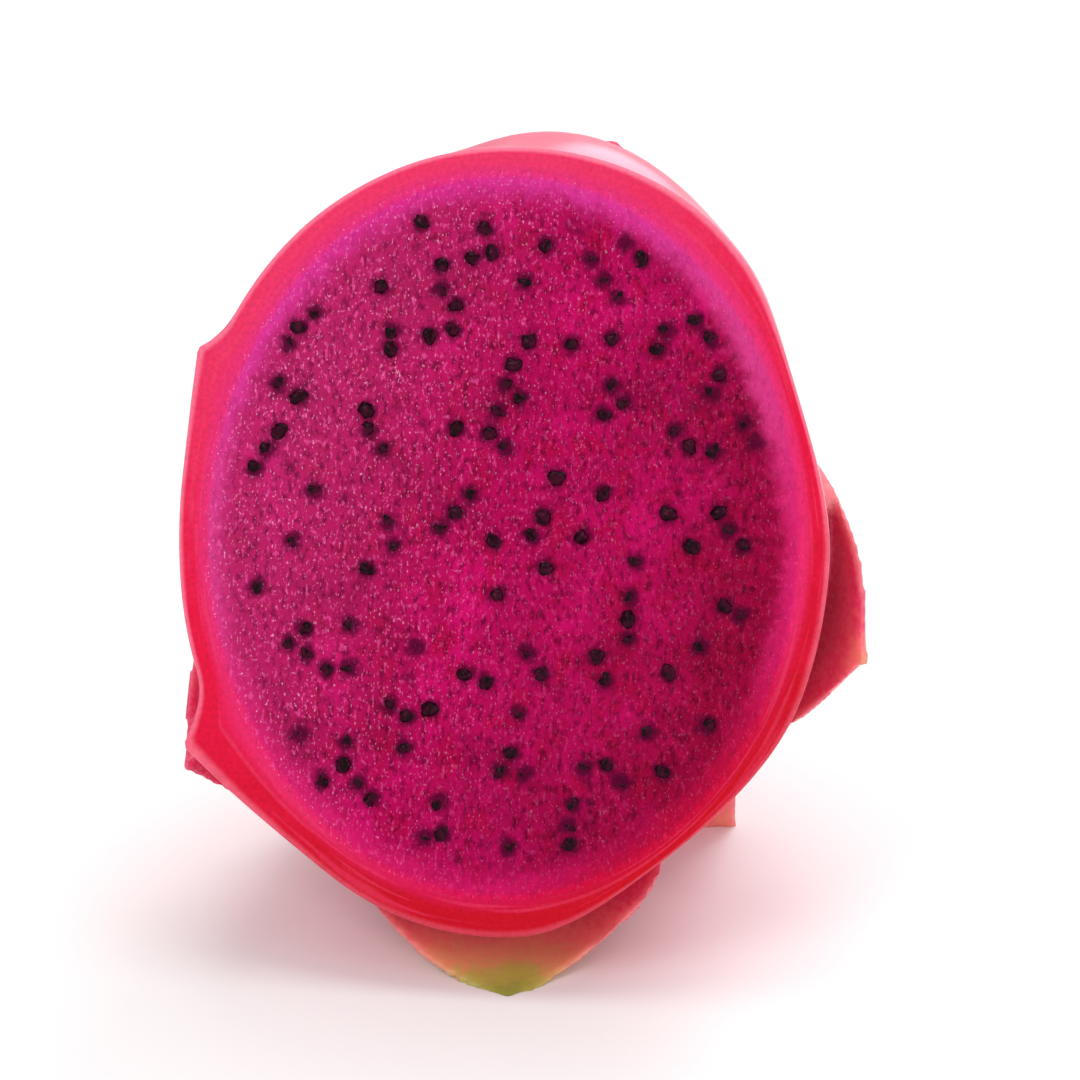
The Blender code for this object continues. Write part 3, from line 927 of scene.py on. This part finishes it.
# Colours of the skin; where one passes into the next, each has its place on the ramp
SKIN_MOTTLE = (
    (0.30, (0.56, 0.016, 0.070)),
    (0.52, (0.74, 0.034, 0.130)),
    (0.72, (0.88, 0.085, 0.215)),
)
PORE_PINK = (0.95, 0.24, 0.36)
SCALE_RIPENESS = (
    (0.42, (0.95, 0.12, 0.18)),
    (0.60, (0.92, 0.19, 0.19)),
    (0.73, (0.78, 0.29, 0.15)),
    (0.83, (0.44, 0.38, 0.065)),
    (0.93, (0.25, 0.30, 0.035)),
    (1.00, (0.09, 0.07, 0.028)),
)
VEIN_PINK = (0.93, 0.38, 0.30)
BORDER_PINK = (0.96, 0.34, 0.32)
# Painted sheen, partly the bloom's own paler pink, and painted highlight, for the strip of skin above
# the cut's upper edge
BLOOM_SHEEN_PINK = (0.76, 0.17, 0.25)
HIGHLIGHT_PINK = (0.93, 0.42, 0.56)

# Colours of the cut peel and of its seam with the flesh, painted from shaded at the lower
# right of the face to lit at its upper left, with a red of painted shade for the seam
SEAM_REDS_SHADED_TO_LIT = (
    (0.05, (0.68, 0.006, 0.070)),
    (0.35, (0.82, 0.024, 0.140)),
    (0.90, (0.80, 0.032, 0.175)),
)
SEAM_SHADE_RED = (0.60, 0.003, 0.032)
CUT_PEEL_REDS_SHADED_TO_LIT = (
    (0.10, (0.60, 0.004, 0.018)),
    (0.48, (0.78, 0.008, 0.055)),
    (0.92, (0.83, 0.038, 0.135)),
)
STREAK_HIGHLIGHT_PINK = (0.86, 0.055, 0.150)
OUTER_HIGHLIGHT_PINK = (0.96, 0.20, 0.31)

# Colours of the flesh, with painted shade and painted light, and the glow of its edge painted from
# shaded to lit as for the peel
FLESH_CLOUDS = (
    (0.30, (0.28, 0.0008, 0.046)),
    (0.50, (0.43, 0.0016, 0.085)),
    (0.70, (0.60, 0.0030, 0.135)),
)
FLESH_RED = (0.40, 0.0012, 0.048)
FLESH_SHADED = (0.27, 0.0004, 0.022)
FLESH_LIT = (0.50, 0.030, 0.165)
GLOW_MAGENTAS_SHADED_TO_LIT = (
    (0.05, (0.60, 0.006, 0.110)),
    (0.35, (0.68, 0.015, 0.150)),
    (0.62, (0.68, 0.046, 0.245)),
    (0.86, (0.71, 0.036, 0.310)),
    (0.97, (0.67, 0.017, 0.220)),
)
GLOW_SHADE_RED = (0.45, 0.002, 0.032)
RAY_RED = (0.16, 0.0004, 0.020)
# Painted highlights: pale sparkles and glints of the wet flesh
SPARKLE_PINK = (0.80, 0.085, 0.330)
GLINT_PINK = (0.92, 0.40, 0.60)
HALO_PURPLE = (0.070, 0.0005, 0.022)

# Colours of the seeds, the dry stem and the floor
SEED_BLACKS = (
    (0.35, (0.008, 0.001, 0.004)),
    (0.70, (0.055, 0.002, 0.017)),
)
STEM_BROWNS = (
    (0.28, (0.055, 0.035, 0.020)),
    (0.48, (0.25, 0.17, 0.085)),
    (0.72, (0.50, 0.40, 0.25)),
)
FLOOR_WHITE = (0.90, 0.89, 0.89, 1.0)

# Sizes of the patterns in the materials
MOTTLE_SIZE = 16.0 * MM
DIMPLE_SIZE = 3.2 * MM
PORE_SIZE = 0.5 * MM
LINE_SIZE = 0.9 * MM
PEEL_CLOUD_SIZE = 4.0 * MM
PEEL_GRAIN_SIZE = 0.6 * MM
FLESH_CLOUD_SIZE = 12.0 * MM
PATCH_SIZE = 4.5 * MM
MIST_SIZE = 2.6 * MM
SMUDGE_SIZE = 1.3 * MM
PULP_SIZE = 0.95 * MM
FLESH_GRAIN_SIZE = 0.62 * MM
GLINT_SIZE = 0.30 * MM
SEED_MOTTLE_SIZE = 0.9 * MM
SEED_GRAIN_SIZE = 0.5 * MM
FIBRE_SIZE = 0.8 * MM

# How patterns are drawn out: small numbers stretch them along x, y or z
SKIN_STRETCH = (1.0, 0.22, 1.0)
FLESH_STRETCH = (1.15, 1.0, 0.62)
STEM_STRETCH = (1.0, 0.18, 1.0)

# Where the glow of the flesh reaches furthest in: angle round the face, how far, and how
# fast that falls off to both sides
GLOW_WIDEST_AT = 0.48
GLOW_WIDENING = 0.034
GLOW_NARROWING = 0.062

SKIN_FINISH = {
    "Sheen Weight": 0.12,
    "Sheen Roughness": 0.4,
    "Sheen Tint": (1.0, 0.80, 0.86, 1.0),
    "Roughness": 0.42,
    "Specular IOR Level": 0.35,
    "Subsurface Weight": 0.10,
    "Subsurface Radius": (1.0, 0.25, 0.3),
    "Subsurface Scale": 2.0 * MM,
    "Coat Weight": 0.22,
    "Coat Roughness": 0.28,
}
CUT_PEEL_FINISH = {
    "Roughness": 0.30,
    "Specular IOR Level": 0.05,
    "Subsurface Weight": 0.2,
    "Subsurface Radius": (1.0, 0.15, 0.25),
    "Subsurface Scale": 1.6 * MM,
}
FLESH_FINISH = {
    "Roughness": 0.28,
    "Specular IOR Level": 0.03,
    "Subsurface Weight": 0.15,
    "Subsurface Radius": (1.0, 0.10, 0.35),
    "Subsurface Scale": 1.0 * MM,
}
SEED_FINISH = {"Roughness": 0.22, "Specular IOR Level": 0.07}
STEM_FINISH = {"Roughness": 0.85}


def blank_material(name):
    made = bpy.data.materials.new(name)
    made.use_nodes = True
    tree = made.node_tree
    return made, tree, tree.nodes["Principled BSDF"]


def finish(tree, shader, colour, settings):
    tree.links.new(colour, shader.inputs["Base Color"])
    for name, value in settings.items():
        shader.inputs[name].default_value = value


def blend(tree, factor, first, second, mode="MIX"):
    """Mixes two colours; the factor and the colours are values or sockets."""
    made = tree.nodes.new("ShaderNodeMix")
    made.data_type = "RGBA"
    made.blend_type = mode
    for index, value in ((0, factor), (6, first), (7, second)):
        if isinstance(value, bpy.types.NodeSocket):
            tree.links.new(value, made.inputs[index])
        else:
            made.inputs[index].default_value = value if index == 0 else (*value, 1.0)
    return made.outputs[2]


def ramp(tree, factor, stops):
    """Passes softly through the stops, each a place from 0 to 1 and a colour."""
    made = tree.nodes.new("ShaderNodeValToRGB")
    bar = made.color_ramp
    bar.interpolation = "EASE"
    while len(bar.elements) < len(stops):
        bar.elements.new(0.5)
    for element, (position, colour) in zip(bar.elements, stops):
        element.position = position
        element.color = (*colour, 1.0)
    tree.links.new(factor, made.inputs[0])
    return made.outputs[0]


def grey(value):
    return (value, value, value)


def fade(tree, value, start, end, first=0.0, last=1.0):
    """Passes softly from the first value, up to start, to the last one, from end on."""
    return ramp(tree, value, [(start, grey(first)), (end, grey(last))])


def centred(tree, value, strength):
    """A 0 to 1 value moved to lie round 0 and scaled."""
    return times(tree, calc(tree, "SUBTRACT", value, 0.5), strength)


def fruit_place(tree):
    """Object coordinates turned back into the fruit's own frame."""
    spot = node_in(tree, "ShaderNodeTexCoord")
    back = -(Matrix.Rotation(LEAN, 4, "X") @ FACE_CENTRE)
    inputs = {"Vector": spot.outputs["Object"], "Location": back, "Rotation": (LEAN, 0.0, 0.0)}
    return node_in(tree, "ShaderNodeMapping", inputs).outputs[0]


def stretched(tree, place, factors):
    return node_in(tree, "ShaderNodeMapping", {"Vector": place, "Scale": factors}).outputs[0]


def speckle(tree, place, size, detail=2.0, roughness=0.5, distortion=0.0):
    inputs = {
        "Vector": place,
        "Scale": 1.0 / size,
        "Detail": detail,
        "Roughness": roughness,
        "Distortion": distortion,
    }
    return node_in(tree, "ShaderNodeTexNoise", inputs).outputs["Fac"]


def bumped(tree, shader, height, distance, strength=1.0, under=None):
    inputs = {"Height": height, "Distance": distance, "Strength": strength}
    if under is not None:
        inputs["Normal"] = under
    made = node_in(tree, "ShaderNodeBump", inputs)
    tree.links.new(made.outputs[0], shader.inputs["Normal"])
    return made.outputs[0]


def attribute(tree, name):
    return node_in(tree, "ShaderNodeAttribute", attribute_name=name).outputs["Fac"]


def face_place(tree, place):
    """Place on the cut face: across and up as shares of its halves, and angle round it."""
    parts = node_in(tree, "ShaderNodeSeparateXYZ", {"Vector": place}).outputs
    across = calc(tree, "DIVIDE", parts["X"], HALF_WIDTH)
    height = calc(tree, "DIVIDE", parts["Z"], HALF_HEIGHT)
    return across, height, calc(tree, "ARCTAN2", parts["Z"], parts["X"])


def painted_light_upper_left(tree, across, height):
    """Painted light: 0 at the shaded lower right of the cut face, 1 at its lit top and upper left."""
    lit = calc(tree, "SUBTRACT", height, times(tree, across, 0.35))
    return plus(tree, times(tree, lit, 0.45), 0.5)


def painted_shade_lower_right(tree, across, height):
    """Painted shade: 1 where the cut face is shaded deepest red, at the lower right of its edge."""
    reach = calc(tree, "SUBTRACT", times(tree, across, 0.60), times(tree, height, 0.72))
    return fade(tree, reach, 0.64, 0.84)


def seam_colour(tree, painted_light, painted_shade):
    """Colour where the flesh passes into the peel, with painted light and painted shade."""
    return blend(tree, times(tree, painted_shade, 0.8), ramp(tree, painted_light, SEAM_REDS_SHADED_TO_LIT), SEAM_SHADE_RED)


def skin_material():
    made, tree, shader = blank_material("dragon_fruit_skin")
    place = fruit_place(tree)
    mottle = speckle(tree, place, MOTTLE_SIZE, 3.0)
    pores = speckle(tree, place, PORE_SIZE, 2.0)
    lines = speckle(tree, stretched(tree, place, SKIN_STRETCH), LINE_SIZE, 3.0, 0.6)
    colour = ramp(tree, mottle, SKIN_MOTTLE)
    colour = blend(tree, times(tree, fade(tree, pores, 0.52, 0.70), 0.28), colour, PORE_PINK)

    along = attribute(tree, "along")
    edge = attribute(tree, "edge")
    less_green = calc(tree, "SUBTRACT", 1.0, attribute(tree, "green"))
    ripe = plus(
        tree,
        along,
        centred(tree, mottle, 0.30),
        centred(tree, lines, 0.16),
        times(tree, calc(tree, "POWER", edge, 2.0), -0.10),
        times(tree, less_green, -0.62),
    )
    colour = blend(tree, fade(tree, ripe, 0.42, 0.62), colour, ramp(tree, ripe, SCALE_RIPENESS))
    blade = fade(tree, along, 0.25, 0.55)
    veins = times(tree, fade(tree, lines, 0.42, 0.62), blade, 0.11)
    colour = blend(tree, veins, colour, VEIN_PINK)
    border = times(tree, fade(tree, edge, 0.84, 0.98), blade, 0.50)
    colour = blend(tree, border, colour, BORDER_PINK)

    # Painted sheen and painted highlight on the strip of skin above the cut's upper edge
    highlight_strip = plus(tree, attribute(tree, "highlight_strip"), centred(tree, mottle, 0.12))
    colour = blend(tree, fade(tree, highlight_strip, 0.10, 0.50, last=0.75), colour, BLOOM_SHEEN_PINK)
    colour = blend(tree, fade(tree, highlight_strip, 0.76, 0.94, last=0.80), colour, HIGHLIGHT_PINK)
    finish(tree, shader, colour, SKIN_FINISH)
    dimples = bumped(tree, shader, speckle(tree, place, DIMPLE_SIZE, 3.0), 0.35 * MM, 0.5)
    bumped(tree, shader, pores, 0.09 * MM, 0.6, under=dimples)
    return made


def cut_peel_material():
    made, tree, shader = blank_material("cut_peel")
    place = fruit_place(tree)
    across, height, angle = face_place(tree, place)
    band = attribute(tree, "band")
    cloud = speckle(tree, place, PEEL_CLOUD_SIZE, 3.0)
    grain = speckle(tree, place, PEEL_GRAIN_SIZE, 3.0)
    # Painted light and shade: the cut peel is paler toward the upper left and deeper red toward the
    # lower right
    painted_light = painted_light_upper_left(tree, across, height)
    seam = seam_colour(tree, painted_light, painted_shade_lower_right(tree, across, height))
    painted_light = plus(tree, painted_light, centred(tree, cloud, 0.35))
    colour = ramp(tree, painted_light, CUT_PEEL_REDS_SHADED_TO_LIT)
    inner = fade(tree, plus(tree, band, centred(tree, cloud, 0.20)), 0.02, 0.45, 1.0, 0.0)
    colour = blend(tree, inner, colour, seam)

    # Painted highlight: pink streaks along the rim stand in for the wet gloss of the cut peel
    along_rim = vector(tree, X=times(tree, angle, 2.2), Y=times(tree, band, 5.0))
    highlight_streaks = fade(tree, speckle(tree, along_rim, 1.0, 2.0), 0.50, 0.64, last=0.38)
    colour = blend(tree, highlight_streaks, colour, STREAK_HIGHLIGHT_PINK)
    # Painted highlight: a pale pink line along the outer edge of the cut peel, strongest where the
    # painted light is
    lit_share = fade(tree, painted_light, 0.08, 0.60, 0.25, 0.85)
    outer_highlight = times(tree, fade(tree, band, 0.76, 0.92), lit_share)
    colour = blend(tree, outer_highlight, colour, OUTER_HIGHLIGHT_PINK)
    colour = blend(tree, 0.35, colour, fade(tree, grain, 0.3, 0.7, 0.62, 1.0), "MULTIPLY")
    finish(tree, shader, colour, CUT_PEEL_FINISH)
    bumped(tree, shader, grain, 0.12 * MM, 0.7)
    return made


def flesh_ground(tree, place, side):
    """Red clouds of the flesh, with painted shade at the right and painted light at the left."""
    colour = ramp(tree, speckle(tree, place, FLESH_CLOUD_SIZE, 4.0, 0.6), FLESH_CLOUDS)
    patches = fade(tree, speckle(tree, place, PATCH_SIZE, 3.0, 0.6, 0.4), 0.50, 0.66, last=0.75)
    colour = blend(tree, patches, colour, FLESH_RED)
    # Painted shade toward the right of the face and painted light toward its left
    dark = times(tree, fade(tree, side, 0.62, 0.98), 0.70)
    colour = blend(tree, dark, colour, FLESH_SHADED)
    pale = times(tree, fade(tree, side, 0.08, 0.50, 1.0, 0.0), 0.45)
    return blend(tree, pale, colour, FLESH_LIT)


def flesh_glow(tree, place, share, colour):
    """The paler, misty edge of the flesh and its seam with the peel, with painted light at the upper
    left and painted shade at the lower right.
    """
    across, height, angle = face_place(tree, place)
    painted_light = painted_light_upper_left(tree, across, height)
    painted_shade = painted_shade_lower_right(tree, across, height)
    from_widest = calc(tree, "ABSOLUTE", calc(tree, "SUBTRACT", angle, GLOW_WIDEST_AT))
    wider = calc(tree, "SUBTRACT", GLOW_WIDENING, times(tree, from_widest, GLOW_NARROWING))
    mist = centred(tree, speckle(tree, place, MIST_SIZE, 4.0, 0.65), 0.11)
    reach = plus(tree, share, mist, calc(tree, "MAXIMUM", wider, 0.0))
    glow = times(tree, fade(tree, reach, 0.895, 0.985), 0.92)
    magenta = blend(tree, times(tree, painted_shade, 0.9), ramp(tree, painted_light, GLOW_MAGENTAS_SHADED_TO_LIT), GLOW_SHADE_RED)
    colour = blend(tree, glow, colour, magenta)
    seam = fade(tree, share, 0.970, 0.998)
    return blend(tree, seam, colour, seam_colour(tree, painted_light, painted_shade))


def flesh_rays(tree, angle, share, side, colour):
    """Darker rays that run out toward the peel at the right."""
    radial = vector(tree, X=times(tree, angle, 20.0), Y=times(tree, share, 3.5))
    rays = fade(tree, speckle(tree, radial, 1.0, 3.0, 0.6), 0.40, 0.58, 1.0, 0.0)
    stops = ((0.55, grey(0.0)), (0.80, grey(1.0)), (0.88, grey(1.0)), (0.95, grey(0.0)))
    rays = times(tree, rays, ramp(tree, share, stops), fade(tree, side, 0.50, 0.75), 0.35)
    return blend(tree, rays, colour, RAY_RED)


def flesh_material():
    made, tree, shader = blank_material("wet_flesh")
    place = fruit_place(tree)
    across, height, angle = face_place(tree, place)
    share = attribute(tree, "share")
    # side runs from the lit left of the face to its shaded right; painted light and shade follow it
    side = plus(tree, times(tree, plus(tree, across, times(tree, height, -0.4)), 0.5), 0.5)
    colour = flesh_ground(tree, place, side)
    colour = flesh_glow(tree, place, share, colour)
    colour = flesh_rays(tree, angle, share, side, colour)

    upright = stretched(tree, place, FLESH_STRETCH)
    grain = speckle(tree, upright, FLESH_GRAIN_SIZE, 2.0)
    pulp = speckle(tree, upright, PULP_SIZE, 3.0, 0.6)
    pits = fade(tree, pulp, 0.32, 0.54, 0.34, 1.0)
    colour = blend(tree, fade(tree, share, 0.86, 0.95, 0.85, 0.25), colour, pits, "MULTIPLY")
    # Painted highlights: pale specks and glints stand in for the sparkle of the wet flesh, most at its
    # lit left
    painted_light_left = fade(tree, side, 0.10, 0.80, 1.0, 0.18)
    painted_sparkles = times(tree, fade(tree, grain, 0.56, 0.68), painted_light_left, 0.65)
    colour = blend(tree, painted_sparkles, colour, SPARKLE_PINK)
    glints = fade(tree, speckle(tree, upright, GLINT_SIZE, 1.0), 0.66, 0.73)
    colour = blend(tree, times(tree, glints, painted_light_left, 0.65), colour, GLINT_PINK)

    smudge = centred(tree, speckle(tree, place, SMUDGE_SIZE, 2.0), 0.9)
    halo = plus(tree, attribute(tree, "seed_shade"), centred(tree, pulp, 0.7), smudge)
    halo = times(tree, fade(tree, halo, 0.20, 0.85), 0.88)
    colour = blend(tree, halo, colour, HALO_PURPLE)
    finish(tree, shader, colour, FLESH_FINISH)
    soft = bumped(tree, shader, pulp, 0.30 * MM, 0.8)
    bumped(tree, shader, grain, 0.22 * MM, 0.9, under=soft)
    return made


def seed_material():
    made, tree, shader = blank_material("black_seed")
    place = fruit_place(tree)
    finish(tree, shader, ramp(tree, speckle(tree, place, SEED_MOTTLE_SIZE), SEED_BLACKS), SEED_FINISH)
    bumped(tree, shader, speckle(tree, place, SEED_GRAIN_SIZE), 0.10 * MM, 0.8)
    return made


def stem_material():
    made, tree, shader = blank_material("dry_stem")
    place = stretched(tree, fruit_place(tree), STEM_STRETCH)
    fibre = speckle(tree, place, FIBRE_SIZE, 4.0, 0.7)
    finish(tree, shader, ramp(tree, fibre, STEM_BROWNS), STEM_FINISH)
    bumped(tree, shader, fibre, 0.6 * MM, 1.0)
    return made


def floor_material():
    made, tree, shader = blank_material("pale_floor")
    shader.inputs["Base Color"].default_value = FLOOR_WHITE
    shader.inputs["Roughness"].default_value = 0.55
    return made


# Camera, light and floor
CAMERA_AZIMUTH = math.radians(6.0)
CAMERA_ELEVATION = math.radians(25.0)
CAMERA_DISTANCE = 0.85
CAMERA_TARGET = Vector((0.0, 0.0, 0.047))
VIEW_HEIGHT = 0.146
FLOOR_SIZE = 6.0
FLOOR_DROP = 0.03 * MM
# Soft lamps: name, place, width of the square and power
LAMPS = (
    ("key", (-0.55, -0.75, 0.85), 0.55, 4.1),
    ("front", (0.10, -0.95, 0.16), 0.60, 1.0),
    ("fill", (0.95, -0.25, 0.30), 0.60, 2.2),
    ("top", (0.05, 0.25, 1.00), 0.70, 4.5),
    ("back", (0.30, 0.85, 0.70), 0.45, 4.0),
)
LAMPS_TARGET = Vector((0.0, 0.0, 0.05))
SKY_WHITE = (1.0, 1.0, 1.0, 1.0)
SKY_STRENGTH = 0.57


def camera():
    flat = math.cos(CAMERA_ELEVATION)
    across = math.sin(CAMERA_AZIMUTH) * flat
    along = -math.cos(CAMERA_AZIMUTH) * flat
    back = Vector((across, along, math.sin(CAMERA_ELEVATION)))
    made = add_object("camera", bpy.data.cameras.new("camera"))
    made.location = CAMERA_TARGET + CAMERA_DISTANCE * back
    made.rotation_euler = back.to_track_quat("Z", "Y").to_euler()
    made.data.angle = 2.0 * math.atan(VIEW_HEIGHT / (2.0 * CAMERA_DISTANCE))
    made.data.clip_start = 0.01
    bpy.context.scene.camera = made


def soft_lamp(name, place, size, power):
    lamp = bpy.data.lights.new(name, "AREA")
    lamp.shape = "SQUARE"
    lamp.size = size
    lamp.energy = power
    made = add_object(name, lamp)
    made.location = place
    toward = LAMPS_TARGET - Vector(place)
    made.rotation_euler = toward.to_track_quat("-Z", "Y").to_euler()


def studio():
    shape = bmesh.new()
    bmesh.ops.create_grid(shape, x_segments=1, y_segments=1, size=FLOOR_SIZE / 2.0)
    bmesh.ops.translate(shape, verts=shape.verts, vec=(0.0, 0.0, -FLOOR_DROP))
    floor = object_from(shape, "floor")
    floor.data.materials.append(floor_material())
    for lamp in LAMPS:
        soft_lamp(*lamp)
    sky = bpy.data.worlds.new("studio")
    sky.use_nodes = True
    sky_light = sky.node_tree.nodes["Background"]
    sky_light.inputs["Color"].default_value = SKY_WHITE
    sky_light.inputs["Strength"].default_value = SKY_STRENGTH
    bpy.context.scene.world = sky
    bpy.context.scene.view_settings.view_transform = "Standard"


def smooth(item, crease):
    """Shades a piece smooth, but for edges sharper than the crease."""
    item.data.shade_smooth()
    item.data.set_sharp_from_angle(angle=math.radians(crease))


def dress(item, node):
    if node:
        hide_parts(node)
    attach(item, "root")


def build():
    skin_coat = skin_material()
    skin = peel_skin()
    skin.data.materials.clear()
    skin.data.materials.append(skin_coat)
    smooth(skin, BODY_CREASE)
    dress(skin, "peel")

    rim = peel_rim()
    coat_rim(rim, cut_peel_material(), skin_coat)
    smooth(rim, RIM_CREASE)
    dress(rim, None)

    body = flesh_body()
    body.data.materials.append(flesh_material())
    smooth(body, BODY_CREASE)
    dress(body, "flesh")

    grains = seeds(seed_material())
    dress(grains, None)

    stub = stem_stub()
    stub.data.materials.append(stem_material())
    smooth(stub, STUB_CREASE)
    dress(stub, "stem_stub")


build()
studio()
camera()
